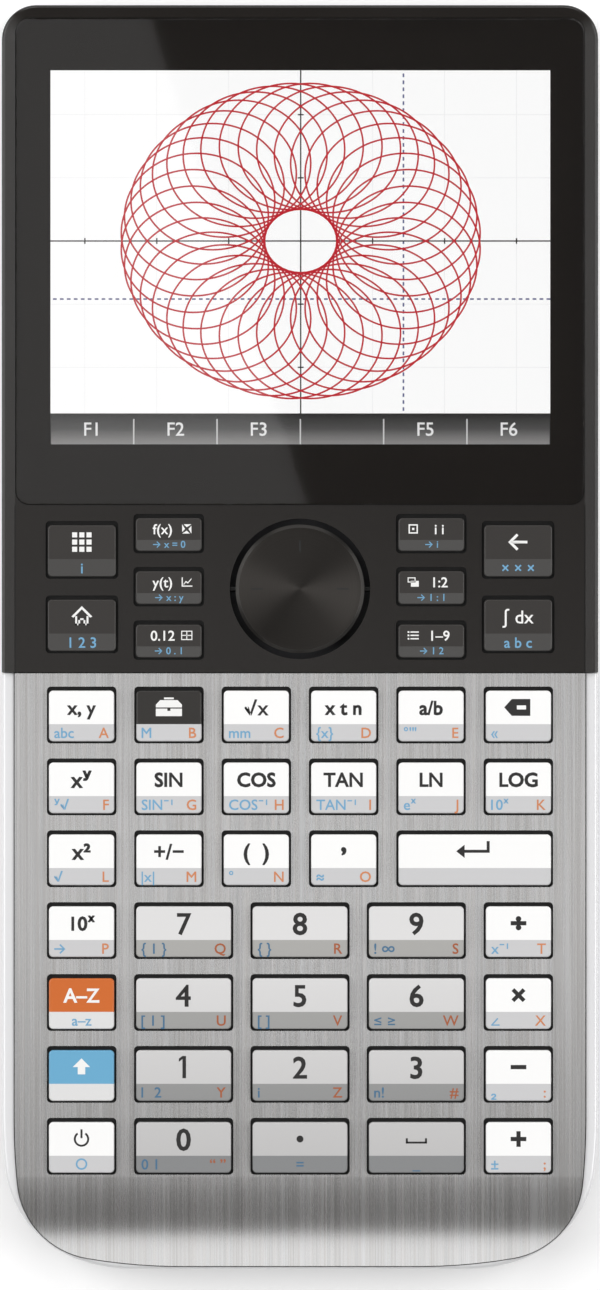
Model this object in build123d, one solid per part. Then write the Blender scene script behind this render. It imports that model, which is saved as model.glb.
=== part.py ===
from build123d import *
from math import atan2, degrees, radians, sin
import os

# Graphing calculator: a slim handheld with a touch screen, a cursor disc and 47 keys.
# It lies on its back, +Z up through the keys, +Y towards the head, +X to the right.
# The origin is under the middle of its box, on the surface that it rests on.
# All sizes are in millimetres.

# ---- Whole body, seen from above
half_width = 42.9
head_end = 91.0
foot_end = -91.0
head_corner_radius = 5.0
# lower corner: radius and turn of the arc next to the foot, radius of the middle arc,
# radius and turn of the arc next to the side
body_corner = (24.4, 18.8, 16.0, 68.8, 6.5)
plate_corner = (78.3, 9.9, 12.0, 93.2, 5.8)

# ---- Levels, from the surface it rests on
foot_height = 0.6
case_top = 7.4
frame_top = 12.45
head_skirt_bottom = 9.6
plate_top = 12.8
head_top = 13.2
key_top = 13.9

# ---- Walls and clearances
case_wall = 1.6
case_floor = 1.4
case_edge_radius = 3.2
plate_thickness = 0.8
head_thickness = 1.3
parting_gap = 0.15
fit_gap = 0.1
pin_clearance = 0.05
seat_gap = 0.05
edge_break = 0.15

# ---- Side frame
band_width = 1.85
foot_band_width = 0.5
ledge_width = 1.2
frame_wall = 1.7
frame_edge_radius = 0.6
roll_start = foot_end + 13.4
roll_radius = 54.0

# ---- Head and display
head_foot = -5.0
head_band_drop = 0.45
head_edge_radius = 0.5
surround_groove = 0.2
surround_wall = 0.55
lens_half_width = half_width - 2.05
lens_foot = 19.1
lens_head = head_end - 2.0
lens_thickness = 1.1
lens_corner_radius = 2.0
lens_proud = 0.05
lens_ledge_thickness = 1.0
active_centre = (0.05, head_end - 36.3)
active_size = (71.9, 53.8)
window_margin = 0.9
glass_margin = 0.45
module_size = (75.0, 62.0, 2.3)

# ---- Keys
cap_gap = 0.32
cap_back_gap = 0.58
cap_front_gap = 0.3
flange_overhang = 0.6
flange_thickness = 0.7
key_corner_radius = 0.6
cap_edge_radius = 0.22
slope_share = 0.34
slope_drop = 0.42
key_travel = 0.7

column_pitch = 12.56
row_pitch = 10.337
last_row_y = -73.16
key_opening = (10.0, 8.17)
digit_opening = 14.27
digit_pitch = 16.73
enter_opening = 22.55
large_opening = (10.45, 8.3)
large_x = 31.35
large_rows = (12.6, 1.9)
small_opening = (10.15, 5.66)
small_x = 18.87
small_rows = (14.94, 7.31, -0.36)

# ---- Cursor disc and its gimbal
disc_centre = (0.0, 7.0)
disc_radius = 9.25
disc_opening_radius = disc_radius + 0.85
disc_thickness = 1.5
disc_bevel = 0.45
disc_dish = 0.35
stem_radius = disc_radius - 6.05
pivot_depth = 1.0
ring_inner_radius = disc_radius - 3.25
ring_outer_radius = disc_radius - 0.85
ring_thickness = 1.5
pivot_pin_radius = 0.45
lug_length = 1.3
lug_width = 2.4
lug_gap = 0.25

# ---- Board and keypad
board_thickness = 1.0
board_half_width = half_width - 5.8
board_foot = foot_end + 8.0
board_head = head_end - 4.8
membrane_thickness = 0.9
membrane_half_width = half_width - 6.0
membrane_foot = foot_end + 10.5
membrane_head = lens_foot - 0.5
dome_gap = 0.2
dome_radius = 2.4
dome_top_radius = 1.5
shield_size = (26.0, 18.0, 1.4)
shield_centre = (20.0, 42.0)
socket_size = (7.5, 5.2, 2.6)
socket_wall = 0.3
tongue_size = (5.4, 3.2, 0.6)
socket_opening_gap = 0.35
socket_setback = 0.5

# ---- Battery and its door
battery_size = (44.0, 50.0, 4.6)
battery_centre_y = -30.0
battery_gap = 0.5
battery_head_gap = 2.2
well_wall = 1.2
door_thickness = 1.3
door_lip = 2.2
door_hook_reach = 1.8
door_hook_width = 6.0
door_hook_thickness = 0.8
door_hook_x = 14.0
door_hook_root = 1.4
door_hook_swing = 0.8
door_recess_wall = 1.6
door_ledge = 0.9
latch_size = (14.0, 3.0)
latch_depth = 0.6
contact_size = (1.6, 3.0)
contact_pitch = 3.2

# ---- Screws and feet
screw_side_x = half_width - 4.0
screw_side_rows = (7.25, -36.96, -67.98)
screw_head_place = (half_width - 8.9, head_end - 3.6)
boss_radius = 1.4
case_boss_radius = 2.6
screw_radius = 0.7
screw_head_radius = 1.3
screw_head_height = 0.9
screw_recess = 0.5
screw_end = 10.6
drive_radius = 0.55
drive_depth = 0.45
pad_size = (12.0, 4.0)
pad_x = 29.0
pad_rows = (head_end - 13.0, foot_end + 19.0)
label_size = (46.0, 18.0)
label_y = 52.0
label_depth = 0.2

key_columns = [column_pitch * (i - 2.5) for i in range(6)]
key_rows = [last_row_y + row_pitch * (6 - i) for i in range(7)]
plate_bottom = plate_top - plate_thickness
head_bottom = head_top - head_thickness
pivot_height = head_bottom - pivot_depth
board_top = case_top + board_thickness
membrane_top = board_top + membrane_thickness
dome_height = plate_bottom - seat_gap - flange_thickness - key_travel - dome_gap - membrane_top
lens_top = head_top + lens_proud
lens_bottom = lens_top - lens_thickness
lens_ledge_bottom = lens_bottom - lens_ledge_thickness


def body_outline(half, head, foot, head_radius, corner):
    """Plan outline: straight sides, rounded head corners, lower corners of three tangent arcs."""
    foot_radius, foot_turn, middle_radius, side_radius, side_turn = corner
    first = radians(foot_turn)
    second = radians(90 - side_turn)
    run = foot_radius * sin(first)
    run += middle_radius * (sin(second) - sin(first))
    run += side_radius * (1 - sin(second))
    foot_arc = JernArc((half - run, foot), (1, 0), foot_radius, foot_turn)
    middle_arc = JernArc(foot_arc @ 1, foot_arc % 1, middle_radius, 90 - side_turn - foot_turn)
    side_arc = JernArc(middle_arc @ 1, middle_arc % 1, side_radius, side_turn)
    side = Line(side_arc @ 1, (half, head - head_radius))
    arcs = [foot_arc, middle_arc, side_arc, side]
    if head_radius:
        arcs.append(JernArc(side @ 1, (0, 1), head_radius, 90))
    mirrored = [mirror(edge, Plane.YZ) for edge in arcs]
    foot_line = Line(mirrored[0] @ 0, foot_arc @ 0)
    head_line = Line(arcs[-1] @ 1, mirrored[-1] @ 1)
    return make_face(arcs + mirrored + [foot_line, head_line])


def prism(sketch, low, high):
    """The sketch's area, solid from one level to another."""
    return Pos(0, 0, low) * extrude(sketch, high - low)


def block(x0, x1, y0, y1, low, high):
    """A square block between six planes."""
    return Pos((x0 + x1) / 2, (y0 + y1) / 2, (low + high) / 2) * Box(x1 - x0, y1 - y0, high - low)


def rod(x, y, radius, low, high):
    """An upright round rod."""
    return Pos(x, y, (low + high) / 2) * Cylinder(radius, high - low)


def under_roll(top):
    """Everything under the front's surface, which is flat and then rolls down to the foot."""
    roll = Pos(0, roll_start, top - roll_radius) * Rot(0, 90, 0) * Cylinder(roll_radius, 3 * half_width)
    flat = block(-1.5 * half_width, 1.5 * half_width, roll_start, 2 * head_end, -1, top)
    return flat + roll


def key_solid(x, y, opening, underside):
    """One key: a drafted cap with a forward slope, on a flange that the cover above keeps in."""
    wide = opening[0] - 2 * cap_gap
    front = cap_front_gap - opening[1] / 2
    back = opening[1] / 2 - cap_back_gap
    deep = back - front
    crease = front + slope_share * deep
    flange_top = underside - seat_gap
    section = RectangleRounded(wide, deep, key_corner_radius)
    cap = Pos(0, (front + back) / 2, 0) * prism(section, flange_top, key_top)
    lip = front - 1
    lip_drop = slope_drop * (crease - lip) / (crease - front)
    knife = make_face(
        Polyline(
            (-wide, crease, key_top),
            (-wide, lip, key_top - lip_drop),
            (-wide, lip, key_top + 1),
            (-wide, crease, key_top + 1),
            close=True,
        )
    )
    cap -= extrude(knife, 2 * wide, dir=(1, 0, 0))
    rim = cap.edges().filter_by_position(Axis.Z, key_top - slope_drop - 0.01, key_top + 0.01)
    cap = fillet(rim, cap_edge_radius)
    flange_wide = opening[0] + 2 * flange_overhang
    flange_deep = opening[1] + 2 * flange_overhang
    flange = RectangleRounded(flange_wide, flange_deep, key_corner_radius)
    cap += prism(flange, flange_top - flange_thickness, flange_top)
    return Pos(x, y, 0) * cap


def key_holes(places, low, high):
    """The openings of a set of keys, as one cutting tool."""
    return [
        Pos(x, y, 0) * prism(RectangleRounded(*opening, key_corner_radius), low, high)
        for x, y, opening in places
    ]


# ---- Where each key stands: name, x, y and opening
head_keys = {
    "key_apps": (-large_x, large_rows[0], large_opening),
    "key_home": (-large_x, large_rows[1], large_opening),
    "key_symbolic": (-small_x, small_rows[0], small_opening),
    "key_plot": (-small_x, small_rows[1], small_opening),
    "key_numeric": (-small_x, small_rows[2], small_opening),
    "key_help": (small_x, small_rows[0], small_opening),
    "key_view": (small_x, small_rows[1], small_opening),
    "key_menu": (small_x, small_rows[2], small_opening),
    "key_escape": (large_x, large_rows[0], large_opening),
    "key_algebra": (large_x, large_rows[1], large_opening),
}

full_rows = [
    ["variables", "toolbox", "templates", "xtn", "fraction", "delete"],
    ["power", "sine", "cosine", "tangent", "natural_log", "log"],
]
short_row = ["square", "sign", "brackets", "comma"]
digit_rows = [
    ["exponent", "7", "8", "9", "divide"],
    ["alpha", "4", "5", "6", "multiply"],
    ["shift", "1", "2", "3", "minus"],
    ["on", "0", "point", "space", "plus"],
]

plate_keys = {}
for row, names in enumerate(full_rows + [short_row]):
    for column, name in enumerate(names):
        plate_keys["key_" + name] = (key_columns[column], key_rows[row], key_opening)
enter_x = (key_columns[4] + key_columns[5]) / 2
plate_keys["key_enter"] = (enter_x, key_rows[2], (enter_opening, key_opening[1]))
for row, names in enumerate(digit_rows):
    digit_xs = [key_columns[0], -digit_pitch, 0.0, digit_pitch, key_columns[5]]
    digit_wides = [key_opening[0], digit_opening, digit_opening, digit_opening, key_opening[0]]
    for name, x, wide in zip(names, digit_xs, digit_wides):
        plate_keys["key_" + name] = (x, key_rows[3 + row], (wide, key_opening[1]))

disc_x, disc_y = disc_centre
screw_places = [(side * screw_side_x, y) for y in screw_side_rows for side in (-1, 1)]
screw_places += [(side * screw_head_place[0], screw_head_place[1]) for side in (-1, 1)]

body = body_outline(half_width, head_end, foot_end, head_corner_radius, body_corner)
plate_plan = body_outline(
    half_width - band_width, head_foot - parting_gap, foot_end + foot_band_width, 0, plate_corner
)

battery_half = battery_size[0] / 2 + battery_gap
battery_low = battery_centre_y - battery_size[1] / 2 - battery_gap
battery_high = battery_centre_y + battery_size[1] / 2 + battery_head_gap
door_half = battery_half + door_lip
door_low = battery_low - door_lip
door_high = battery_high + door_lip
door_top = foot_height + door_thickness
floor_top = foot_height + case_floor


def faceplate():
    """Brushed sheet that covers the keypad and rolls down at the foot."""
    plate = prism(plate_plan, 0, plate_top) & under_roll(plate_top)
    plate -= under_roll(plate_bottom)
    return plate - key_holes(plate_keys.values(), 0, key_top)


def side_frame():
    """Ring between case and front: a ledge under the plate, a band beside it and screw bosses."""
    frame = prism(body, case_top, frame_top) & under_roll(frame_top)
    upper = frame.edges().filter_by_position(Axis.Z, case_top + 1, frame_top + 0.01)
    upright = upper.filter_by(Axis.Z)
    crease = upper.filter_by(Axis.X).filter_by_position(Axis.Y, roll_start - 0.1, roll_start + 0.1)
    frame = fillet(upper - upright - crease, frame_edge_radius)
    low_well = prism(offset(plate_plan, -ledge_width), case_top, frame_top)
    head_well = prism(offset(body, -frame_wall), case_top, frame_top)
    head_well &= block(-half_width, half_width, head_foot - frame_wall, head_end, case_top, frame_top)
    plate_seat = prism(offset(plate_plan, parting_gap), case_top, frame_top) - under_roll(plate_bottom)
    head_low = head_foot - parting_gap
    head_seat = block(-half_width, half_width, head_low, head_end, head_skirt_bottom, key_top)
    frame -= [low_well, head_well, plate_seat, head_seat]
    inner = half_width - band_width
    for x, y in screw_places:
        if y < head_foot:
            wall = inner * x / abs(x)
            web = block(min(x, wall), max(x, wall), y - boss_radius, y + boss_radius, case_top, plate_bottom)
            frame += rod(x, y, boss_radius, case_top, plate_bottom) + web
        frame -= screw_hole(x, y, case_top)
    return frame


def screw_hole(x, y, low):
    """The hole in a boss that one case screw turns into."""
    return rod(x, y, screw_radius + pin_clearance, low, screw_end + fit_gap)


def head_cover():
    """Dark cover over the head: sloped rim, key surround, lens recess, window, skirt and bosses."""
    rim_low = head_top - head_band_drop
    long_plan = body & Pos(0, head_end, 0) * Rectangle(4 * half_width, 2 * (head_end - head_foot + 10))
    slope = atan2(half_width - lens_half_width - fit_gap, head_band_drop)
    whole = prism(long_plan, head_skirt_bottom, rim_low)
    whole += Pos(0, 0, rim_low) * extrude(long_plan, head_band_drop, taper=degrees(slope))
    shoulder = whole.edges().filter_by_position(Axis.Z, rim_low - 0.01, rim_low + 0.01)
    whole = fillet(shoulder, head_edge_radius)
    far = 2 * half_width
    whole -= block(-far, far, foot_end, head_foot, 0, key_top)
    inner_half = half_width - case_wall
    lens_wall = lens_foot - surround_wall
    inside = offset(body, -case_wall) & Pos(0, lens_wall + head_end, 0) * Rectangle(far, 2 * head_end)
    cover = whole - prism(inside, head_skirt_bottom, lens_ledge_bottom)
    cover -= block(-inner_half, inner_half, head_foot, lens_wall, head_skirt_bottom, head_bottom)
    lens_middle = (lens_head + lens_foot) / 2
    lens_deep = lens_head - lens_foot
    recess = RectangleRounded(
        2 * (lens_half_width + fit_gap), lens_deep + 2 * fit_gap, lens_corner_radius + fit_gap
    )
    cover -= Pos(0, lens_middle, 0) * prism(recess, lens_bottom, key_top)
    window = Rectangle(active_size[0] + 2 * window_margin, active_size[1] + 2 * window_margin)
    cover -= Pos(*active_centre, 0) * prism(window, head_skirt_bottom, key_top)
    groove_low = head_top - surround_groove
    for side in (-1, 1):
        near = side * lens_half_width
        rim = near + side * surround_groove
        cover -= block(min(near, rim), max(near, rim), head_foot, lens_foot, groove_low, key_top)
    cover -= key_holes(head_keys.values(), 0, key_top)
    cover -= rod(disc_x, disc_y, disc_opening_radius, 0, key_top)
    lug_near = disc_opening_radius + lug_gap
    lug_far = lug_near + lug_length
    lug_low = pivot_height - lug_width / 2
    low_y = disc_y - lug_width / 2
    high_y = disc_y + lug_width / 2
    cover += block(disc_x + lug_near, disc_x + lug_far, low_y, high_y, lug_low, head_bottom)
    cover += block(disc_x - lug_far, disc_x - lug_near, low_y, high_y, lug_low, head_bottom)
    pivot = Cylinder(pivot_pin_radius + pin_clearance, 2 * lug_far + 1)
    cover -= Pos(disc_x, disc_y, pivot_height) * Rot(0, 90, 0) * pivot
    for x, y in screw_places:
        if y > head_foot:
            high = lens_ledge_bottom if y > lens_foot else head_bottom
            cover += rod(x, y, boss_radius, board_top, high)
            cover -= screw_hole(x, y, board_top)
    return cover


def touch_lens():
    """Clear front of the touch screen, seated in the head cover's recess."""
    plan = RectangleRounded(2 * lens_half_width, lens_head - lens_foot, lens_corner_radius)
    lens = Pos(0, (lens_head + lens_foot) / 2, 0) * prism(plan, lens_bottom, lens_top)
    return chamfer(lens.edges().group_by(Axis.Z)[-1], edge_break)


def display_module():
    """Colour display: a flat module whose glass stands up into the window."""
    wide, deep, thick = module_size
    low = lens_ledge_bottom - seat_gap - thick
    tray = prism(Rectangle(wide, deep), low, low + thick)
    glass = Rectangle(active_size[0] + 2 * glass_margin, active_size[1] + 2 * glass_margin)
    tray += prism(glass, low + thick, lens_bottom - seat_gap)
    return Pos(*active_centre, 0) * tray


def keypad_membrane():
    """Moulded rubber sheet on the board, with one dome under each key."""
    low = board_top
    high = low + membrane_thickness
    sheet = block(-membrane_half_width, membrane_half_width, membrane_foot, membrane_head, low, high)
    dome = Pos(0, 0, high + dome_height / 2) * Cone(dome_radius, dome_top_radius, dome_height)
    places = list(head_keys.values()) + list(plate_keys.values())
    return sheet + [Pos(x, y, 0) * dome for x, y, opening in places]


def main_board():
    """Circuit board with its shield can, USB socket and battery contacts."""
    board = block(-board_half_width, board_half_width, board_foot, board_head, case_top, board_top)
    x, y = shield_centre
    wide, deep, tall = shield_size
    can = block(x - wide / 2, x + wide / 2, y - deep / 2, y + deep / 2, case_top - tall, case_top)
    wide, deep, tall = socket_size
    mouth = head_end - socket_setback
    shell = block(-wide / 2, wide / 2, mouth - deep, mouth, case_top - tall, case_top)
    hollow_low = case_top - tall + socket_wall
    hollow_high = case_top - socket_wall
    half = wide / 2 - socket_wall
    shell -= block(-half, half, mouth - deep + socket_wall, mouth, hollow_low, hollow_high)
    wide, deep, tall = tongue_size
    middle = (hollow_low + hollow_high) / 2
    back = mouth - socket_size[1] + socket_wall
    shell += block(-wide / 2, wide / 2, back, back + deep, middle - tall / 2, middle + tall / 2)
    battery_top = door_top + battery_gap / 2 + battery_size[2]
    contact_y = battery_high - battery_head_gap - contact_size[1]
    contacts = [
        Pos(contact_pitch * i, contact_y, (battery_top + seat_gap + case_top) / 2)
        * Box(*contact_size, case_top - battery_top - seat_gap)
        for i in (-1, 0, 1)
    ]
    return [board, can, shell] + contacts


def battery():
    """Flat rechargeable pack in its well."""
    low = door_top + battery_gap / 2
    pack = prism(RectangleRounded(battery_size[0], battery_size[1], 2), low, low + battery_size[2])
    return Pos(0, battery_centre_y, 0) * pack


def battery_door():
    """Door flush with the back: hooks at its head end, finger latch at its foot end."""
    door = block(-door_half, door_half, door_low, door_high, foot_height, door_top)
    door = chamfer(door.edges().group_by(Axis.Z)[0], edge_break)
    hook_low = floor_top + fit_gap
    hook_high = hook_low + door_hook_thickness
    root = door_high - door_lip - fit_gap
    root_foot = root - door_hook_root
    for x in (-door_hook_x, door_hook_x):
        near = x - door_hook_width / 2
        far = x + door_hook_width / 2
        door += block(near, far, root_foot, root, door_top, hook_high)
        door += block(near, far, root_foot, door_high + door_hook_reach, hook_low, hook_high)
    wide, deep = latch_size
    scoop = block(-wide / 2, wide / 2, door_low + 1, door_low + 1 + deep, 0, foot_height + latch_depth)
    return door - scoop


def rear_case():
    """Back shell: tray with a battery well, screw bosses, a USB opening and four feet."""
    shell = prism(body, foot_height, case_top)
    shell = fillet(shell.edges().group_by(Axis.Z)[0], case_edge_radius)
    shell -= prism(offset(body, -case_wall), floor_top, case_top)
    outer_half = door_half + door_recess_wall
    outer_low = door_low - door_recess_wall
    outer_high = door_high + door_recess_wall
    ledge_top = door_top + seat_gap + door_ledge
    shell += block(-outer_half, outer_half, outer_low, outer_high, foot_height, ledge_top)
    wall = battery_half + well_wall
    shell += block(-wall, wall, battery_low - well_wall, battery_high + well_wall, floor_top, case_top)
    shell -= block(-battery_half, battery_half, battery_low, battery_high, 0, case_top)
    recess_half = door_half + fit_gap
    recess_low = door_low - fit_gap
    recess_high = door_high + fit_gap
    shell -= block(-recess_half, recess_half, recess_low, recess_high, 0, door_top + seat_gap)
    slot_foot = battery_high - 1
    slot_head = door_high + door_hook_reach + 2 * fit_gap
    slot_top = floor_top + fit_gap + door_hook_thickness + door_hook_swing
    slot_half = door_hook_width / 2 + 2 * fit_gap
    for x in (-door_hook_x, door_hook_x):
        shell -= block(x - slot_half, x + slot_half, slot_foot, door_high, door_top, slot_top)
        shell -= block(x - slot_half, x + slot_half, slot_foot, slot_head, floor_top, slot_top)
    label = prism(RectangleRounded(*label_size, 2 * edge_break), 0, foot_height + label_depth)
    shell -= Pos(0, label_y, 0) * label
    wide, deep = latch_size
    scoop = block(-wide / 2, wide / 2, recess_low - deep, recess_low, 0, foot_height + latch_depth)
    shell -= scoop
    for x, y in screw_places:
        shell += rod(x, y, case_boss_radius, foot_height + edge_break, case_top) - outside_case()
        shell -= rod(x, y, screw_radius + fit_gap, 0, case_top)
        shell -= rod(x, y, screw_head_radius + fit_gap, 0, foot_height + screw_recess + screw_head_height)
    half = socket_size[0] / 2 + socket_opening_gap
    low = case_top - socket_size[2] - socket_opening_gap
    shell -= block(-half, half, head_end - case_wall - 2, head_end + 1, low, case_top)
    pad = prism(RectangleRounded(*pad_size, pad_size[1] / 2 - edge_break), 0, foot_height)
    return shell + [Pos(side * pad_x, y, 0) * pad for side in (-1, 1) for y in pad_rows]


def outside_case():
    """The space outside the back shell's side wall, which trims what stands against it."""
    far = 3 * head_end
    solid = Pos(0, 0, case_top / 2) * Box(far, far, 2 * case_top)
    return solid - prism(offset(body, -edge_break), -case_top, 2 * case_top)


def case_screws():
    """The screws that hold case, frame and head together, put in from the back."""
    head_low = foot_height + screw_recess
    head_high = head_low + screw_head_height
    screw = rod(0, 0, screw_head_radius, head_low, head_high) + rod(0, 0, screw_radius, head_high, screw_end)
    drive = Pos(0, 0, head_low) * extrude(RegularPolygon(drive_radius, 6), drive_depth)
    screw -= drive
    return [Pos(x, y, 0) * screw for x, y in screw_places]


def cursor_disc():
    """Dished disc on a stem, with the cross pin that it tilts on."""
    low = key_top - disc_thickness
    cap = rod(0, 0, disc_radius, low, key_top)
    cap = chamfer(cap.edges().group_by(Axis.Z)[-1], disc_bevel)
    dish_edge = disc_radius - 2 * disc_bevel
    dish_radius = (dish_edge**2 + disc_dish**2) / (2 * disc_dish)
    cap -= Pos(0, 0, key_top - disc_dish + dish_radius) * Sphere(dish_radius)
    stem = rod(0, 0, stem_radius, pivot_height - ring_thickness / 2, low)
    pin = Pos(0, 0, pivot_height) * Rot(90, 0, 0) * Cylinder(pivot_pin_radius, 2 * ring_outer_radius - 1)
    return Pos(disc_x, disc_y, 0) * (cap + stem + pin)


def cursor_rocker():
    """Gimbal ring: its own pins sit in the head cover's lugs and it carries the disc's pin."""
    low = pivot_height - ring_thickness / 2
    ring = rod(0, 0, ring_outer_radius, low, low + ring_thickness)
    lug_far = disc_opening_radius + lug_gap + lug_length
    pins = Rot(0, 90, 0) * Cylinder(pivot_pin_radius, 2 * (lug_far - fit_gap))
    ring += Pos(0, 0, pivot_height) * pins
    ring -= rod(0, 0, ring_inner_radius, low, low + ring_thickness)
    bore = Rot(90, 0, 0) * Cylinder(pivot_pin_radius + pin_clearance, 2 * ring_outer_radius + 1)
    ring -= Pos(0, 0, pivot_height) * bore
    return Pos(disc_x, disc_y, 0) * ring


nodes = {
    "rear_case": rear_case(),
    "side_frame": side_frame(),
    "faceplate": faceplate(),
    "head_cover": head_cover(),
    "touch_lens": touch_lens(),
    "display_module": display_module(),
    "keypad_membrane": keypad_membrane(),
    "main_board": main_board(),
    "battery": battery(),
    "battery_door": battery_door(),
    "case_screws": case_screws(),
    "cursor_disc": cursor_disc(),
    "cursor_rocker": cursor_rocker(),
}
for name, (x, y, opening) in head_keys.items():
    nodes[name] = key_solid(x, y, opening, head_bottom)
for name, (x, y, opening) in plate_keys.items():
    nodes[name] = key_solid(x, y, opening, plate_bottom)

os.makedirs("parts", exist_ok=True)
for name, shape in nodes.items():
    whole = Compound(children=shape) if isinstance(shape, list) else shape
    export_step(whole, "parts/" + name + ".step")
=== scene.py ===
"""Graphing calculator: finishes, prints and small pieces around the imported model, part by part."""

import math

import bpy
import numpy as np
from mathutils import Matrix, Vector
from mathutils.geometry import convex_hull_2d


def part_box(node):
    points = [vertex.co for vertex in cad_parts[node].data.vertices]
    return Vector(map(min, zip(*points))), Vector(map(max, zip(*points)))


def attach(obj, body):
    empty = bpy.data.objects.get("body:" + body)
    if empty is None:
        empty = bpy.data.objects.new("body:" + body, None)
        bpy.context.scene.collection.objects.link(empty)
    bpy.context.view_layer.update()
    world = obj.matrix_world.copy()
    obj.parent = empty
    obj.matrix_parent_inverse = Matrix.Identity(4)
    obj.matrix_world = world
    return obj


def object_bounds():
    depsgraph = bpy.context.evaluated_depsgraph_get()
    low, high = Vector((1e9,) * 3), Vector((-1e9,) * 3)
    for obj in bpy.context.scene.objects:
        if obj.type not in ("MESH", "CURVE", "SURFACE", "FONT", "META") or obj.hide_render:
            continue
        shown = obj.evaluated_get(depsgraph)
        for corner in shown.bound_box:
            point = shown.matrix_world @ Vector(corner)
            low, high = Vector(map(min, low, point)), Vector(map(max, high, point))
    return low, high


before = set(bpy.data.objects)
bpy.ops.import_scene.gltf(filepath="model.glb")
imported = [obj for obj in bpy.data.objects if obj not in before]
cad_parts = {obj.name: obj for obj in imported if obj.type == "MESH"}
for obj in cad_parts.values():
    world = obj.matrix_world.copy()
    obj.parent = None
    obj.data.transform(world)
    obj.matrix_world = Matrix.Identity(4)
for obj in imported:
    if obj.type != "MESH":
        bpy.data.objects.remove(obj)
case_low, case_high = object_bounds()
mm = 0.001


# ---- The table, the lights and the camera
# The calculator lies on a pale matt table, seen from straight above. Big soft panels stand round
# it, and the space above it is dim, so that the glossy head stays dark.

def add_mesh(name, points, faces, materials, smooth=False):
    """A mesh object at the origin from an array of places and an array of corner numbers."""
    mesh = bpy.data.meshes.new(name)
    mesh.from_pydata(np.asarray(points, float).reshape(-1, 3).tolist(), [], [list(f) for f in faces])
    for material in materials:
        mesh.materials.append(material)
    mesh.polygons.foreach_set("use_smooth", [smooth] * len(mesh.polygons))
    mesh.update()
    piece = bpy.data.objects.new(name, mesh)
    bpy.context.scene.collection.objects.link(piece)
    return piece


def start_finish(name, colour, roughness, metallic=0.0):
    """A material with one Principled shader: returns it, its node tree and the shader."""
    finish = bpy.data.materials.new(name)
    finish.use_nodes = True
    tree = finish.node_tree
    shader = tree.nodes["Principled BSDF"]
    shader.inputs["Base Color"].default_value = (*colour, 1)
    shader.inputs["Roughness"].default_value = roughness
    shader.inputs["Metallic"].default_value = metallic
    return finish, tree, shader


def feed(tree, socket, value):
    """Links an input to another node's output, or sets it. A colour is given as three numbers."""
    if isinstance(value, bpy.types.NodeSocket):
        tree.links.new(value, socket)
    elif socket.type == "RGBA":
        socket.default_value = (*value, 1)
    else:
        socket.default_value = value


def linked(tree, kind, settings=(), **inputs):
    """A new node with its properties set and its inputs fed. An input goes by its label, or by the
    letter i and its number."""
    node = tree.nodes.new(kind)
    for key, value in dict(settings).items():
        setattr(node, key, value)
    for key, value in inputs.items():
        feed(tree, node.inputs[int(key[1:]) if key[1:].isdigit() else key], value)
    return node


def softbox(name, place, aim, size, power, tint=(1, 1, 1)):
    """A soft rectangular panel light that faces a point."""
    data = bpy.data.lights.new(name, "AREA")
    data.shape = "RECTANGLE"
    data.size, data.size_y = size
    data.energy = power
    data.color = tint
    lamp = bpy.data.objects.new(name, data)
    bpy.context.scene.collection.objects.link(lamp)
    lamp.location = place
    lamp.rotation_euler = (Vector(aim) - Vector(place)).to_track_quat("-Z", "Y").to_euler()
    return lamp


table_white = (0.94, 0.94, 0.945)
table_finish, _, table_shader = start_finish("table_white", table_white, 0.55)
table_shader.inputs["Emission Color"].default_value = (1, 1, 1, 1)
table_shader.inputs["Emission Strength"].default_value = 0.2
reach = 2.2
table = add_mesh(
    "table",
    [(-reach, -reach, 0), (reach, -reach, 0), (reach, reach, 0), (-reach, reach, 0)],
    [(0, 1, 2, 3)],
    [table_finish],
)

world = bpy.data.worlds.new("studio")
world.use_nodes = True
world.node_tree.nodes["Background"].inputs["Color"].default_value = (1, 0.96, 0.92, 1)
world.node_tree.nodes["Background"].inputs["Strength"].default_value = 0.12
bpy.context.scene.world = world
bpy.context.scene.view_settings.view_transform = "Standard"

camera_height = 1.3
frame_width = 0.08622
sensor_width = 36
view_middle = (0.0, -0.00107)
lens_plane = case_high.z
camera_data = bpy.data.cameras.new("camera")
camera_data.sensor_fit = "HORIZONTAL"
camera_data.sensor_width = sensor_width
camera_data.lens = sensor_width * (camera_height - lens_plane) / frame_width
camera_data.clip_start = 0.01
camera = bpy.data.objects.new("camera", camera_data)
camera.location = (*view_middle, camera_height)
bpy.context.scene.collection.objects.link(camera)
bpy.context.scene.camera = camera

softbox("panel_left", (-0.95, 0.25, 0.85), (0, 0, 0), (1.2, 0.75), 10.6)
softbox("panel_right", (0.95, 0.1, 0.85), (0, 0, 0), (1.2, 0.75), 9.8)
softbox("panel_head", (0, 1.15, 0.8), (0, 0, 0), (1.2, 0.6), 5.6)
softbox("panel_foot", (0, -0.83, 1.3), (0, -0.09, 0), (1.6, 0.46), 3.7)

# the panel that the flat part of the front plate mirrors: the plate rolls away from it at the foot
softbox("panel_plate", (0, -0.078, 1.62), (0, -0.078, 0), (1.5, 0.12), 0.60)

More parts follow.
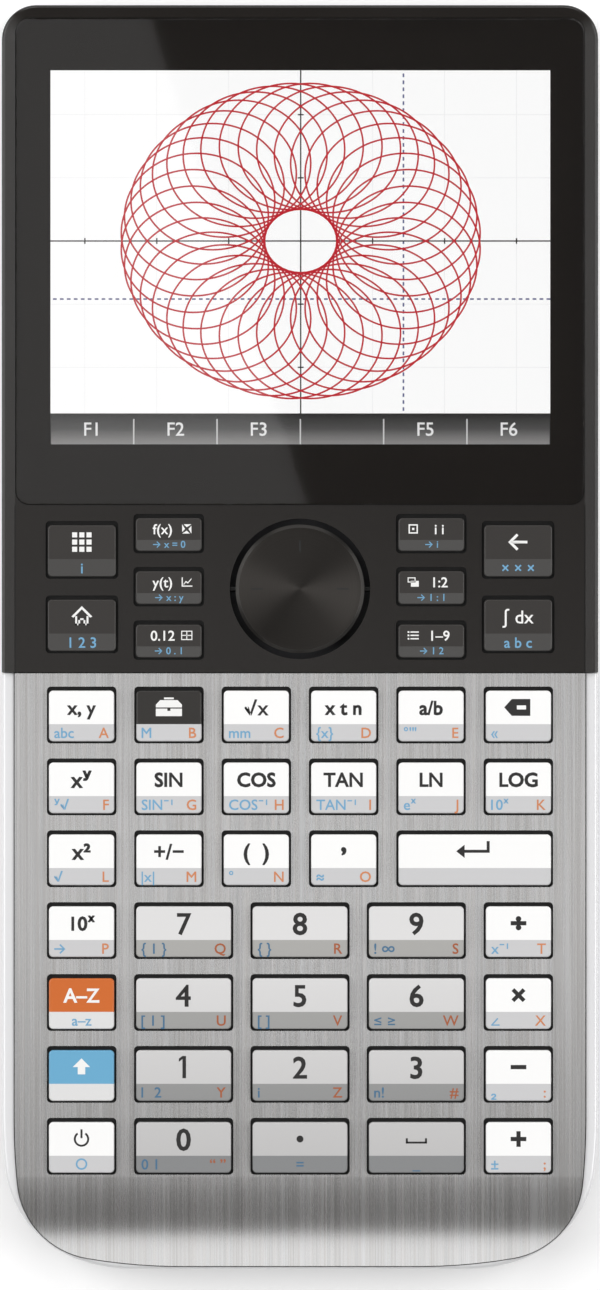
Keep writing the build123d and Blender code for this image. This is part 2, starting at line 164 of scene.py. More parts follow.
# the panel that the lens mirrors: its straight side edge crosses the display slantwise
mirror_height = 1.62
mirror_size = (0.9, 0.62)
mirror_tilt = math.radians(17.8)
mirror_slide = 0.17
edge_head = (-0.0213, 0.0893)
edge_foot = (0.0015, 0.0182)
spread = (camera_height + mirror_height) / camera_height
edge_place = [(head + foot) / 2 * spread for head, foot in zip(edge_head, edge_foot)]
mirror_middle = (
    edge_place[0] - mirror_size[0] / 2 * math.cos(mirror_tilt) - mirror_slide * math.sin(mirror_tilt),
    edge_place[1] - mirror_size[0] / 2 * math.sin(mirror_tilt) + mirror_slide * math.cos(mirror_tilt),
)
mirror = softbox("panel_mirrored", (*mirror_middle, mirror_height), (*mirror_middle, 0), mirror_size, 1.15)
mirror.rotation_euler = (0, 0, mirror_tilt)


# ---- Rear case
# A dark moulded tray with four rubber-faced feet, screwed on from the back. Its skin is spark
# eroded, so it is matt with a very fine grain.

def make_group(name, inputs, outputs):
    """An empty shader node group with named inputs and outputs."""
    group = bpy.data.node_groups.new(name, "ShaderNodeTree")
    for label, kind, value in inputs:
        socket = group.interface.new_socket(label, in_out="INPUT", socket_type=kind)
        socket.default_value = value
    for label, kind in outputs:
        group.interface.new_socket(label, in_out="OUTPUT", socket_type=kind)
    entry = group.nodes.new("NodeGroupInput")
    leave = group.nodes.new("NodeGroupOutput")
    return group, entry.outputs, leave.inputs


def calc(tree, operation, *values):
    """One sum on numbers or sockets."""
    node = linked(tree, "ShaderNodeMath", {"operation": operation})
    for socket, value in zip(node.inputs, values):
        feed(tree, socket, value)
    return node.outputs[0]


def blend_colours(tree, share, first, second, kind="MIX"):
    """Mixes two colours, each a socket or three numbers, by a share."""
    settings = {"data_type": "RGBA", "blend_type": kind}
    return linked(tree, "ShaderNodeMix", settings, i0=share, i6=first, i7=second).outputs[2]


moulded_grain, grain_in, grain_out = make_group(
    "moulded_grain",
    [
        ("Vector", "NodeSocketVector", (0, 0, 0)),
        ("Grain per metre", "NodeSocketFloat", 4000.0),
        ("Height", "NodeSocketFloat", 0.2),
        ("Roughness", "NodeSocketFloat", 0.5),
        ("Spread", "NodeSocketFloat", 0.08),
    ],
    [("Roughness", "NodeSocketFloat"), ("Normal", "NodeSocketVector"), ("Cloud", "NodeSocketFloat")],
)
fine = linked(moulded_grain, "ShaderNodeTexNoise", Vector=grain_in["Vector"],
              Scale=grain_in["Grain per metre"], Detail=3.0, Roughness=0.6)
cloud = linked(moulded_grain, "ShaderNodeTexNoise", Vector=grain_in["Vector"], Scale=60.0, Detail=4.0)
relief = linked(moulded_grain, "ShaderNodeBump", Strength=grain_in["Height"], Distance=0.00005,
                Height=fine.outputs["Fac"])
rough = grain_in["Roughness"]
for noise in (cloud, fine):
    swing = calc(moulded_grain, "SUBTRACT", noise.outputs["Fac"], 0.5)
    rough = calc(moulded_grain, "ADD", rough, calc(moulded_grain, "MULTIPLY", swing, grain_in["Spread"]))
moulded_grain.links.new(rough, grain_out["Roughness"])
moulded_grain.links.new(relief.outputs["Normal"], grain_out["Normal"])
moulded_grain.links.new(cloud.outputs["Fac"], grain_out["Cloud"])


def add_grain(tree, shader, roughness, height=0.2, per_metre=4000.0, spread=0.08):
    """Puts the moulded grain on a shader and returns the group node and the place on the piece."""
    place = tree.nodes.new("ShaderNodeTexCoord").outputs["Object"]
    grain = tree.nodes.new("ShaderNodeGroup")
    grain.node_tree = moulded_grain
    grain.inputs["Grain per metre"].default_value = per_metre
    grain.inputs["Height"].default_value = height
    grain.inputs["Roughness"].default_value = roughness
    grain.inputs["Spread"].default_value = spread
    tree.links.new(place, grain.inputs["Vector"])
    tree.links.new(grain.outputs["Roughness"], shader.inputs["Roughness"])
    tree.links.new(grain.outputs["Normal"], shader.inputs["Normal"])
    return grain, place


def moulded_finish(name, colour, roughness, metallic=0.0, **grain_sizes):
    """A material of one colour with the moulded grain."""
    finish, tree, shader = start_finish(name, colour, roughness, metallic)
    add_grain(tree, shader, roughness, **grain_sizes)
    return finish


def two_tone(tree, shader, share, first, second):
    """Colours a shader with two colours, each a socket or three numbers, mixed by a share."""
    feed(tree, shader.inputs["Base Color"], blend_colours(tree, share, first, second))


def finish_node(node, material):
    """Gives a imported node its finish."""
    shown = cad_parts[node]
    shown.data.materials.clear()
    shown.data.materials.append(material)


door_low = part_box("battery_door")[0]
case_colour = (0.040, 0.040, 0.043)
case_shade = (0.030, 0.030, 0.033)
pad_colour = (0.012, 0.012, 0.012)
case_finish, tree, shader = start_finish("case_charcoal", case_colour, 0.5)
grain, place = add_grain(tree, shader, 0.55, height=0.35, per_metre=3200.0)
axes = linked(tree, "ShaderNodeSeparateXYZ", Vector=place).outputs
foot = calc(tree, "LESS_THAN", axes["Z"], door_low.z - 0.05 * mm)
tone = blend_colours(tree, grain.outputs["Cloud"], case_colour, case_shade)
two_tone(tree, shader, foot, tone, pad_colour)
finish_node("rear_case", case_finish)


# ---- Battery door
# The same plastic in a separate tool, a touch smoother, with a thumb scoop at its foot end.
# Ribs across the scoop give the thumb grip.

door_colour = (0.036, 0.036, 0.039)
door_finish, tree, shader = start_finish("door_charcoal", door_colour, 0.5)
grain, _ = add_grain(tree, shader, 0.5, height=0.3, per_metre=3600.0)
two_tone(tree, shader, grain.outputs["Cloud"], door_colour, case_shade)
finish_node("battery_door", door_finish)


def rib_bar(middle_y, half_long, half_wide, foot_level, rise, count=9):
    """A low rib along X under a downward face: its section is half an ellipse, and it dies away
    at its two ends with the square root of the distance left."""
    along = np.linspace(-1, 1, 41)
    turn = np.linspace(0, np.pi, count)
    fade = np.sqrt(np.clip(1 - along**8, 0, 1))
    x = np.repeat(along * half_long, count)
    y = middle_y + np.tile(np.cos(turn) * half_wide, len(along))
    z = foot_level - rise * np.outer(fade, np.sin(turn)).ravel()
    row = (np.arange(len(along) - 1)[:, None] * count + np.arange(count - 1)).ravel()
    faces = np.stack([row, row + 1, row + count + 1, row + count], 1)
    return np.stack([x, y, z], 1), faces


def join_parts(parts):
    """One array of points and one list of faces from many pairs of them."""
    starts = np.cumsum([0] + [len(points) for points, _ in parts[:-1]])
    faces = [[int(corner + start) for corner in face]
             for (_, own_faces), start in zip(parts, starts) for face in own_faces]
    return np.concatenate([points for points, _ in parts]), faces


rib_count = 4
rib_pitch = 0.65 * mm
rib_half_long = 6.3 * mm
rib_half_wide = 0.17 * mm
rib_rise = 0.26 * mm
first_rib = door_low.y + 1.55 * mm
scoop_level = door_low.z + 0.6 * mm
points, faces = join_parts([
    rib_bar(first_rib + number * rib_pitch, rib_half_long, rib_half_wide, scoop_level, rib_rise)
    for number in range(rib_count)
])
door_ribs = add_mesh("door_ribs", points, faces, [door_finish], smooth=True)
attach(door_ribs, "door")


# ---- Side frame
# A moulded ring with satin silver-white paint. It shows as a bright band beside the front plate
# and right round the edge.

frame_colour = (0.79, 0.79, 0.80)
frame_shade = (0.74, 0.745, 0.76)
frame_finish, tree, shader = start_finish("frame_silver", frame_colour, 0.34, 0.15)
grain, _ = add_grain(tree, shader, 0.34, height=0.08, per_metre=6000.0, spread=0.05)
two_tone(tree, shader, grain.outputs["Cloud"], frame_colour, frame_shade)
finish_node("side_frame", frame_finish)


# ---- Front plate
# A sheet of aluminium brushed from head to foot and clear anodised. It rolls down at the foot,
# and the walls of its key openings carry painted shade: shadow black and not metallic.

roll_start = -77.6 * mm
plate_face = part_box("faceplate")[1].z
plate_roughness = 0.25
metal_dark = (0.385, 0.38, 0.372)
metal_pale = (0.565, 0.565, 0.568)
warm_tint = (1.03, 0.995, 0.97)
cool_tint = (0.965, 1.0, 1.035)
shadow_black = (0.004, 0.004, 0.004)
brush_fine = (5200.0, 26.0, 26.0)
brush_broad = (900.0, 6.0, 6.0)
plate_finish, tree, shader = start_finish("brushed_plate", metal_pale, plate_roughness, 1.0)
shader.inputs["Anisotropic"].default_value = 0.9
place = tree.nodes.new("ShaderNodeTexCoord").outputs["Object"]
along = linked(tree, "ShaderNodeMapping", Vector=place, Scale=brush_fine)
wide = linked(tree, "ShaderNodeMapping", Vector=place, Scale=brush_broad)
hair = linked(tree, "ShaderNodeTexNoise", Vector=along.outputs[0], Scale=1.0, Detail=3.0, Roughness=0.62)
sweep = linked(tree, "ShaderNodeTexNoise", Vector=wide.outputs[0], Scale=1.0, Detail=4.0, Roughness=0.55)
streak = calc(tree, "ADD", calc(tree, "MULTIPLY", hair.outputs["Fac"], 0.62),
              calc(tree, "MULTIPLY", sweep.outputs["Fac"], 0.38))
share = linked(tree, "ShaderNodeMapRange", Value=streak)
share.inputs["From Min"].default_value = 0.30
share.inputs["From Max"].default_value = 0.70
metal = blend_colours(tree, share.outputs[0], metal_dark, metal_pale)
tint = linked(tree, "ShaderNodeTexNoise", Vector=wide.outputs[0], Scale=2.3, Detail=2.0)
tint_colour = blend_colours(tree, tint.outputs["Fac"], warm_tint, cool_tint)
tinted = blend_colours(tree, 0.8, metal, tint_colour, "MULTIPLY")
axes = linked(tree, "ShaderNodeSeparateXYZ", Vector=place).outputs
# painted shade: below the face, outside the roll, the openings' walls are shadow black
below = calc(tree, "LESS_THAN", axes["Z"], plate_face - 0.1 * mm)
flat = calc(tree, "GREATER_THAN", axes["Y"], roll_start)
wall_shade = calc(tree, "MULTIPLY", below, flat)
two_tone(tree, shader, wall_shade, tinted, shadow_black)
feed(tree, shader.inputs["Metallic"], calc(tree, "SUBTRACT", 1.0, wall_shade))
uneven = calc(tree, "MULTIPLY", share.outputs[0], 0.04)
feed(tree, shader.inputs["Roughness"], calc(tree, "ADD", plate_roughness, uneven))
bump = linked(tree, "ShaderNodeBump", Strength=0.10, Distance=0.00004, Height=streak)
tree.links.new(bump.outputs["Normal"], shader.inputs["Normal"])
across_brush = linked(tree, "ShaderNodeCombineXYZ", X=1.0, Y=0.0, Z=0.0)
tree.links.new(across_brush.outputs[0], shader.inputs["Tangent"])
finish_node("faceplate", plate_finish)


# ---- Head cover
# Polished brown-black moulding round the display and the cursor keys. Its rim slopes down to
# the sides, and a fine line parts the key surround from the rim.

head_colour = (0.0080, 0.0062, 0.0050)
well_shadow_black = (0.002, 0.002, 0.002)
head_finish, tree, shader = start_finish("head_brown_black", head_colour, 0.22)
_, place = add_grain(tree, shader, 0.22, height=0.05, per_metre=5000.0, spread=0.06)
axes = linked(tree, "ShaderNodeSeparateXYZ", Vector=place).outputs
head_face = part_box("head_cover")[1].z
# painted shade: the cover's recessed parts inside the rim, below its face, are near black
deep = calc(tree, "LESS_THAN", axes["Z"], head_face - 0.5 * mm)
rim_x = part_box("touch_lens")[1].x + 0.3 * mm
inner = calc(tree, "LESS_THAN", calc(tree, "ABSOLUTE", axes["X"]), rim_x)
well_shade = calc(tree, "MULTIPLY", deep, inner)
two_tone(tree, shader, well_shade, head_colour, well_shadow_black)
finish_node("head_cover", head_finish)


# ---- Touch lens
# A clear hard-coated sheet over the whole display end. Its underside is printed black outside
# the lit area, so the cover's ledge doesn't show.

lens_finish, _, shader = start_finish("lens_glass", (1.0, 1.0, 1.0), 0.02)
shader.inputs["Transmission Weight"].default_value = 1.0
shader.inputs["IOR"].default_value = 1.5
finish_node("touch_lens", lens_finish)

lens_low, lens_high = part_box("touch_lens")
lit_middle = (0.05 * mm, 54.7 * mm)
lit_half = (35.95 * mm, 26.9 * mm)
plot_left = lit_middle[0] - lit_half[0]
plot_right = lit_middle[0] + lit_half[0]
bar_low = lit_middle[1] - lit_half[1]
plot_head = lit_middle[1] + lit_half[1]


def frame_sheet(name, outer, inner, level, material, corner, count=12):
    """A flat sheet with a square window: the outer edge is a rounded rectangle walked by angle,
    and each of its points is joined to the nearest point on the window's edge."""
    (x0, x1, y0, y1), (u0, u1, v0, v1) = outer, inner
    turn = np.linspace(0, np.pi / 2, count)
    arcs, window = [], []
    for quarter, (cx, cy, wx, wy) in enumerate([
        (x1 - corner, y1 - corner, u1, v1), (x0 + corner, y1 - corner, u0, v1),
        (x0 + corner, y0 + corner, u0, v0), (x1 - corner, y0 + corner, u1, v0),
    ]):
        angle = turn + quarter * np.pi / 2
        arcs.append(np.stack([cx + corner * np.cos(angle), cy + corner * np.sin(angle)], 1))
        window.append(np.tile([wx, wy], (count, 1)))
    ring = np.concatenate(arcs)
    hole = np.concatenate(window)
    points = np.concatenate([ring, hole])
    points = np.concatenate([points, np.full((len(points), 1), level)], 1)
    total = len(ring)
    step = np.arange(total)
    after = (step + 1) % total
    faces = []
    for i, j in zip(step, after):
        if np.allclose(hole[i], hole[j]):
            faces.append((total + i, i, j))
        else:
            faces.append((total + i, i, j, total + j))
    return add_mesh(name, points, faces, [material])


mask_finish, tree, shader = start_finish("lens_print", (0.0140, 0.0112, 0.0094), 0.6)
shader.inputs["Specular IOR Level"].default_value = 0.08
add_grain(tree, shader, 0.6, height=0.02, per_metre=3000.0)
edge = 0.12 * mm
mask_corner = 1.9 * mm
lens_mask = frame_sheet(
    "lens_mask",
    (lens_low.x + edge, lens_high.x - edge, lens_low.y + edge, lens_high.y - edge),
    (plot_left, plot_right, bar_low, plot_head),
    lens_low.z + 0.02 * mm, mask_finish, mask_corner,
)
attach(lens_mask, "body")


# ---- Display
# A lit panel under the lens. It shows a plotted rosette of circles on axes with a dotted
# crosshair, and a bar of six touch tabs at the foot, each with a plain sign or bare.

def lit_finish(name, colour):
    """A finish that glows with a plain colour, as a lit panel's picture does."""
    finish, _, shader = start_finish(name, (0.0, 0.0, 0.0), 0.4)
    shader.inputs["Emission Color"].default_value = (*colour, 1)
    shader.inputs["Emission Strength"].default_value = 1.0
    return finish


def lit_piece(name, parts, finish):
    """A piece of the picture, made of flat parts. It rides on the body, as the display does."""
    points, faces = join_parts(parts)
    piece = add_mesh(name, points, faces, [finish])
    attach(piece, "body")


def ribbon(track, width, level, closed=False):
    """A flat band along a track of places: each place is set off to both sides, square to the
    way the track runs there. Returns points and faces."""
    track = np.asarray(track, float)
    if closed:
        run = np.roll(track, -1, 0) - np.roll(track, 1, 0)
    else:
        run = np.gradient(track, axis=0)
    run /= np.linalg.norm(run, axis=1)[:, None]
    side = np.stack([-run[:, 1], run[:, 0]], 1) * width / 2
    points = np.concatenate([track - side, track + side])
    points = np.concatenate([points, np.full((len(points), 1), level)], 1)
    count = len(track)
    step = np.arange(count if closed else count - 1)
    after = (step + 1) % count
    faces = np.stack([step, after, after + count, step + count], 1)
    return points, faces


def panel(x0, x1, y0, y1, level):
    """One flat rectangle as points and faces."""
    points = np.array([(x0, y0, level), (x1, y0, level), (x1, y1, level), (x0, y1, level)])
    return points, np.array([(0, 1, 2, 3)])


picture_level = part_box("display_module")[1].z + 0.008 * mm
layer = 0.004 * mm
page = panel(plot_left, plot_right, bar_low, plot_head, picture_level)
lit_piece("screen_page", [page], lit_finish("screen_white", (1.0, 1.0, 1.0)))

bar_height = 4.45 * mm
plot_foot = bar_low + bar_height
origin = (0.1 * mm, 57.05 * mm)
unit = 10.35 * mm

circle_count = 36
circle_radius = unit
circle_reach = 1.5 * unit
squash = 0.878
turn = np.linspace(0, 2 * np.pi, 97)[:-1]
bands = []
for number in range(circle_count):
    around = np.radians(5 + 10 * number)
    track = np.stack([
        origin[0] + circle_reach * np.cos(around) + circle_radius * np.cos(turn),
        origin[1] + squash * (circle_reach * np.sin(around) + circle_radius * np.sin(turn)),
    ], 1)
    bands.append(ribbon(track, 0.25 * mm, picture_level + 3 * layer, closed=True))
lit_piece("screen_rosette", bands, lit_finish("screen_crimson", (0.50, 0.006, 0.018)))

columns = origin[0] + np.arange(-3, 4) * unit
rows = origin[1] + np.array([-2, -1, 1, 2]) * unit * squash
half_line = 0.1 * mm
tick = 0.42 * mm
level = picture_level + 2 * layer
bands = [
    panel(plot_left, plot_right, origin[1] - half_line, origin[1] + half_line, level),
    panel(origin[0] - half_line, origin[0] + half_line, plot_foot, plot_head, level),
]
bands += [panel(x - half_line, x + half_line, origin[1] - tick, origin[1] + tick, level) for x in columns]
bands += [panel(origin[0] - tick, origin[0] + tick, y - half_line, y + half_line, level) for y in rows]
lit_piece("screen_axes", bands, lit_finish("screen_black", (0.012, 0.010, 0.010)))

dot_inset = 0.36 * mm
dot_long = 0.54 * mm
dot_half = 0.12 * mm
dot_step = 1.0 * mm
cross_x = 14.88 * mm
cross_y = 48.7 * mm
level = picture_level + layer
bands = [panel(x, x + dot_long, cross_y - dot_half, cross_y + dot_half, level)
         for x in np.arange(plot_left + dot_inset, plot_right - dot_inset, dot_step)]
bands += [panel(cross_x - dot_half, cross_x + dot_half, y, y + dot_long, level)
          for y in np.arange(plot_foot + dot_inset, plot_head - dot_inset, dot_step)]
lit_piece("screen_cross", bands, lit_finish("screen_slate", (0.10, 0.11, 0.24)))

half_faint = 0.05 * mm
level = picture_level + layer / 2
bands = [panel(x - half_faint, x + half_faint, plot_foot, plot_head, level) for x in columns]
bands += [panel(plot_left, plot_right, y - half_faint, y + half_faint, level) for y in rows]
lit_piece("screen_grid", bands, lit_finish("screen_faint", (0.88, 0.88, 0.885)))

tab_ground = panel(plot_left, plot_right, bar_low, plot_foot, picture_level + 3.5 * layer)
lit_piece("screen_bar", [tab_ground], lit_finish("screen_bar_shade", (0.0085, 0.0085, 0.0085)))

tab_finish, tree, shader = start_finish("screen_tab", (0.0, 0.0, 0.0), 0.4)
place = tree.nodes.new("ShaderNodeTexCoord").outputs["Object"]
axes = linked(tree, "ShaderNodeSeparateXYZ", Vector=place).outputs
rise = linked(tree, "ShaderNodeMapRange", Value=axes["Y"])
rise.inputs["From Min"].default_value = bar_low
rise.inputs["From Max"].default_value = plot_foot
ramp = linked(tree, "ShaderNodeValToRGB", Fac=rise.outputs[0])
stops = ramp.color_ramp.elements
stops[0].color = (0.24, 0.235, 0.232, 1)
stops[1].position = 0.95
stops[1].color = (0.0065, 0.006, 0.006, 1)
middle = stops.new(0.5)
middle.color = (0.055, 0.054, 0.054, 1)
tree.links.new(ramp.outputs["Color"], shader.inputs["Emission Color"])
shader.inputs["Emission Strength"].default_value = 1.0


def rounded_tab(x0, x1, y0, y1, radius, level, count=7):
    """A flat tab with rounded upper corners: the two corner arcs are points by angle, and the
    foot is two square corners. Returns points and one face of many corners."""
    turn = np.linspace(0, np.pi / 2, count)
    right = np.stack([x1 - radius + radius * np.cos(turn), y1 - radius + radius * np.sin(turn)], 1)
    left = np.stack([x0 + radius - radius * np.sin(turn), y1 - radius + radius * np.cos(turn)], 1)
    outline = np.concatenate([[(x0, y0), (x1, y0)], right, left])
    points = np.concatenate([outline, np.full((len(outline), 1), level)], 1)
    return points, np.arange(len(points))[None, :]


tab_count = 6
tab_pitch = (plot_right - plot_left) / tab_count
half_gap = 0.1 * mm
tab_corner = 0.75 * mm
tab_head = plot_foot - 0.12 * mm
rule_head = plot_foot - 0.8 * mm
tab_starts = [plot_left + number * tab_pitch for number in range(tab_count)]
level = picture_level + 5 * layer
bands = [rounded_tab(x + half_gap, x + tab_pitch - half_gap, bar_low, tab_head, tab_corner, level)
         for x in tab_starts]
lit_piece("screen_tabs", bands, tab_finish)
level = picture_level + 4.5 * layer
bands = [panel(x - half_gap, x + half_gap, bar_low, rule_head, level) for x in tab_starts[1:]]
lit_piece("screen_rules", bands, lit_finish("screen_rule", (0.60, 0.60, 0.60)))

module_finish = moulded_finish("display_shield", (0.02, 0.02, 0.022), 0.35, height=0.05)
finish_node("display_module", module_finish)


# ---- Plate gap shadow
# A dark strip of painted shadow in the gap between the front plate and the side frame. It runs
# along the plate's edge from the right head corner round by the foot, and it sinks with the plate's roll.

plate_points = [Vector(corner.co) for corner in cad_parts["faceplate"].data.vertices]
around = convex_hull_2d([corner.to_2d() for corner in plate_points])
track = np.array([plate_points[number][:2] for number in around])
track = np.roll(track, -int(np.argmax(track[:, 0] + 3 * track[:, 1])), 0)
if track[1, 1] > track[-1, 1]:
    track = np.roll(track[::-1], 1, 0)
gap_shadow_width = 0.3 * mm
gap_shadow_drop = 0.33 * mm
roll_radius = 54.0 * mm
points, faces = ribbon(track, gap_shadow_width, plate_face)
fall = np.maximum(roll_start - points[:, 1], 0)
points[:, 2] = plate_face - gap_shadow_drop - roll_radius + np.sqrt(roll_radius**2 - fall**2)
gap_shadow_finish = moulded_finish("gap_shadow_black", (0.012, 0.012, 0.012), 0.5, height=0.1)
# painted shadow: a near-black strip laid in the parting gap so that the gap reads dark
plate_gap_shadow = add_mesh("plate_gap_shadow", points, faces, [gap_shadow_finish])
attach(plate_gap_shadow, "body")


# ---- Cursor disc
# Spun aluminium, anodised dark, with a cut rim and three dark dashes. The rim's paler colour is a
# painted highlight. The turning marks run round the centre, so the light falls in soft fans.

disc_low, disc_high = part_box("cursor_disc")
disc_middle = ((disc_low.x + disc_high.x) / 2, (disc_low.y + disc_high.y) / 2)
disc_radius = (disc_high.x - disc_low.x) / 2
rim_cut = 0.47 * mm
disc_finish, tree, shader = start_finish("disc_spun", (0.05, 0.047, 0.044), 0.32, 1.0)
shader.inputs["Anisotropic"].default_value = 0.8
place = tree.nodes.new("ShaderNodeTexCoord").outputs["Object"]
centred = linked(tree, "ShaderNodeVectorMath", {"operation": "SUBTRACT"}, i0=place,
                 i1=(disc_middle[0], disc_middle[1], 0.0))
outward = linked(tree, "ShaderNodeVectorMath", {"operation": "MULTIPLY"}, i0=centred.outputs[0],
                 i1=(1.0, 1.0, 0.0))
tree.links.new(outward.outputs[0], shader.inputs["Tangent"])
axes = linked(tree, "ShaderNodeSeparateXYZ", Vector=centred.outputs[0]).outputs
across = calc(tree, "POWER", calc(tree, "ADD", calc(tree, "POWER", axes["X"], 2.0),
                                  calc(tree, "POWER", axes["Y"], 2.0)), 0.5)
turned_at = linked(tree, "ShaderNodeCombineXYZ", X=calc(tree, "MULTIPLY", across, 9000.0), Y=0.0, Z=0.0)
turned = linked(tree, "ShaderNodeTexNoise", Vector=turned_at.outputs[0], Scale=1.0, Detail=2.0)
bump = linked(tree, "ShaderNodeBump", Strength=0.15, Distance=0.00003, Height=turned.outputs["Fac"])
tree.links.new(bump.outputs["Normal"], shader.inputs["Normal"])
# painted highlight: the top of the cut rim gets a paler colour
rim = calc(tree, "GREATER_THAN", across, disc_radius - rim_cut)
rim_highlight = calc(tree, "MULTIPLY", rim, calc(tree, "GREATER_THAN", axes["Z"], disc_high.z - rim_cut))
tone = blend_colours(tree, turned.outputs["Fac"], (0.042, 0.039, 0.036), (0.066, 0.061, 0.057))
two_tone(tree, shader, rim_highlight, tone, (0.12, 0.115, 0.11))
finish_node("cursor_disc", disc_finish)

dish_edge = disc_radius - 0.9 * mm
dish = 0.35 * mm
dash_width = 0.26 * mm
dash_lift = 0.035 * mm
dash_steps = np.linspace(5.3, 7.0, 6) * mm


def on_dish(across_from_middle):
    """The dished face's height at a distance from the disc's middle: a shallow ball's surface."""
    ball = (dish_edge**2 + dish**2) / (2 * dish)
    return disc_high.z - dish + ball - np.sqrt(ball**2 - across_from_middle**2)


dash_finish = moulded_finish("dash_black", (0.006, 0.006, 0.006), 0.5, height=0.05)
bands = []
for way in ((1, 0), (-1, 0), (0, 1)):
    points, faces = ribbon(disc_middle + np.outer(dash_steps, way), dash_width, 0.0)
    points[:, 2] = np.tile(on_dish(dash_steps), 2) + dash_lift
    bands.append((points, faces))
points, faces = join_parts(bands)
disc_dashes = add_mesh("disc_dashes", points, faces, [dash_finish])
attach(disc_dashes, "disc")


# ---- Keys
# Two-shot caps: the flat top has the key's colour and the forward slope is grey. Below the
# front's surface each cap, flange included, is painted shadow black, as the opening's walls are.

key_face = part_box("key_7")[1].z
slope_share = 0.34
slope_drop = 0.42 * mm
flange = 0.6 * mm
inset_side = flange + 0.32 * mm
inset_front = flange + 0.30 * mm
inset_back = flange + 0.58 * mm
row_lead = 0.9 * mm


def cap_place(node):
    """A cap's left, right, front and back edges and its crease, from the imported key's box."""
    low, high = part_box(node)
    front = low.y + inset_front
    back = high.y - inset_back
    return low.x + inset_side, high.x - inset_side, front, back, front + slope_share * (back - front)


def key_finish(name, rows, top, strip, roughness=0.42, foot=None):
    """A cap finish: top colour behind the crease, strip colour in front of it, painted shadow black
    low down. Rows repeat at a pitch, so the crease is found from the place along Y within its row.
    With a foot pair, the two colours darken evenly to that pair from the first digit row to the
    last: painted shade, as the light falls off towards the foot."""
    sample, pitch, shadow_level = rows
    finish, tree, shader = start_finish(name, top, roughness)
    grain, place = add_grain(tree, shader, roughness, height=0.10, per_metre=5200.0, spread=0.06)
    axes = linked(tree, "ShaderNodeSeparateXYZ", Vector=place).outputs
    _, _, front, _, crease = cap_place(sample)
    row = calc(tree, "SUBTRACT", axes["Y"], front - row_lead)
    row = calc(tree, "FRACT", calc(tree, "DIVIDE", row, pitch))
    ahead = calc(tree, "LESS_THAN", row, (crease - front + row_lead) / pitch)
    # painted shade: the colours darken row by row towards the foot, as the light falls off there
    if foot:
        down = linked(tree, "ShaderNodeMapRange", Value=axes["Y"])
        down.inputs["From Min"].default_value = crease
        down.inputs["From Max"].default_value = crease - 3 * pitch
        top = blend_colours(tree, down.outputs[0], top, foot[0])
        strip = blend_colours(tree, down.outputs[0], strip, foot[1])
        face = blend_colours(tree, ahead, top, strip)
    else:
        cloudy = blend_colours(tree, grain.outputs["Cloud"], top, tuple(0.965 * c for c in top))
        face = blend_colours(tree, ahead, cloudy, strip)
    # painted shade: below the front's surface the cap is shadow black, so the gaps round it read dark
    shaded_low = calc(tree, "LESS_THAN", axes["Z"], shadow_level)
    two_tone(tree, shader, shaded_low, face, shadow_black)
    return finish


plate_rows = ("key_7", 10.337 * mm, plate_face - 0.05 * mm)
large_rows = ("key_home", 10.7 * mm, head_face - 0.05 * mm)
small_rows = ("key_numeric", 7.65 * mm, head_face - 0.05 * mm)
white_strip = (0.60, 0.60, 0.61)
pale_strip = (0.74, 0.74, 0.74)
# painted shade: the darker colours the silver caps reach at the foot rows
silver_foot_shade = ((0.50, 0.495, 0.495), (0.235, 0.24, 0.245))
dark_pair = ((0.028, 0.025, 0.023), (0.056, 0.054, 0.052))
key_white = key_finish("key_white", plate_rows, (0.92, 0.92, 0.915), white_strip)
key_silver = key_finish("key_silver", plate_rows, (0.70, 0.695, 0.695), (0.41, 0.405, 0.39),
                        foot=silver_foot_shade)
key_black = key_finish("key_black", plate_rows, (0.021, 0.019, 0.017), white_strip)
key_orange = key_finish("key_orange", plate_rows, (0.60, 0.135, 0.018), pale_strip)
key_blue = key_finish("key_blue", plate_rows, (0.135, 0.39, 0.60), pale_strip)
key_large = key_finish("key_dark_large", large_rows, *dark_pair, 0.38)
key_small = key_finish("key_dark_small", small_rows, *dark_pair, 0.38)

large_keys = ["apps", "home", "escape", "algebra"]
small_keys = ["symbolic", "plot", "numeric", "help", "view", "menu"]
silver_keys = ["0", "1", "2", "3", "4", "5", "6", "7", "8", "9", "point", "space"]
key_finishes = {
    **dict.fromkeys(large_keys, key_large), **dict.fromkeys(small_keys, key_small),
    **dict.fromkeys(silver_keys, key_silver), "toolbox": key_black, "alpha": key_orange, "shift": key_blue,
}
key_nodes = sorted(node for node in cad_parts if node.startswith("key_"))
for node in key_nodes:
    finish_node(node, key_finishes.get(node[4:], key_white))


# ---- Key prints
# Plain signs, digits and letters printed on the caps: the main sign on the flat top, a blue
# sign and an orange letter on the slope. Each print is a thin skin just above its cap.

print_lift = 0.012 * mm
cap_of_size = 0.73


def thickened(points, faces, reach):
    """The same flat shape with each outline point moved out: along the mean of the outward sides
    of the two outline edges that meet at it."""
    edges = {(a, b) for face in faces for a, b in zip(face, face[1:] + face[:1])}
    outline = np.array([(a, b) for a, b in edges if (b, a) not in edges])
    run = points[outline[:, 1]] - points[outline[:, 0]]
    side = np.stack([run[:, 1], -run[:, 0]], 1) / np.maximum(np.hypot(*run.T), 1e-9)[:, None]
    push = np.zeros_like(points)
    np.add.at(push, outline[:, 0], side)
    np.add.at(push, outline[:, 1], side)
    return points + reach * push / np.maximum(np.hypot(*push.T), 0.5)[:, None]


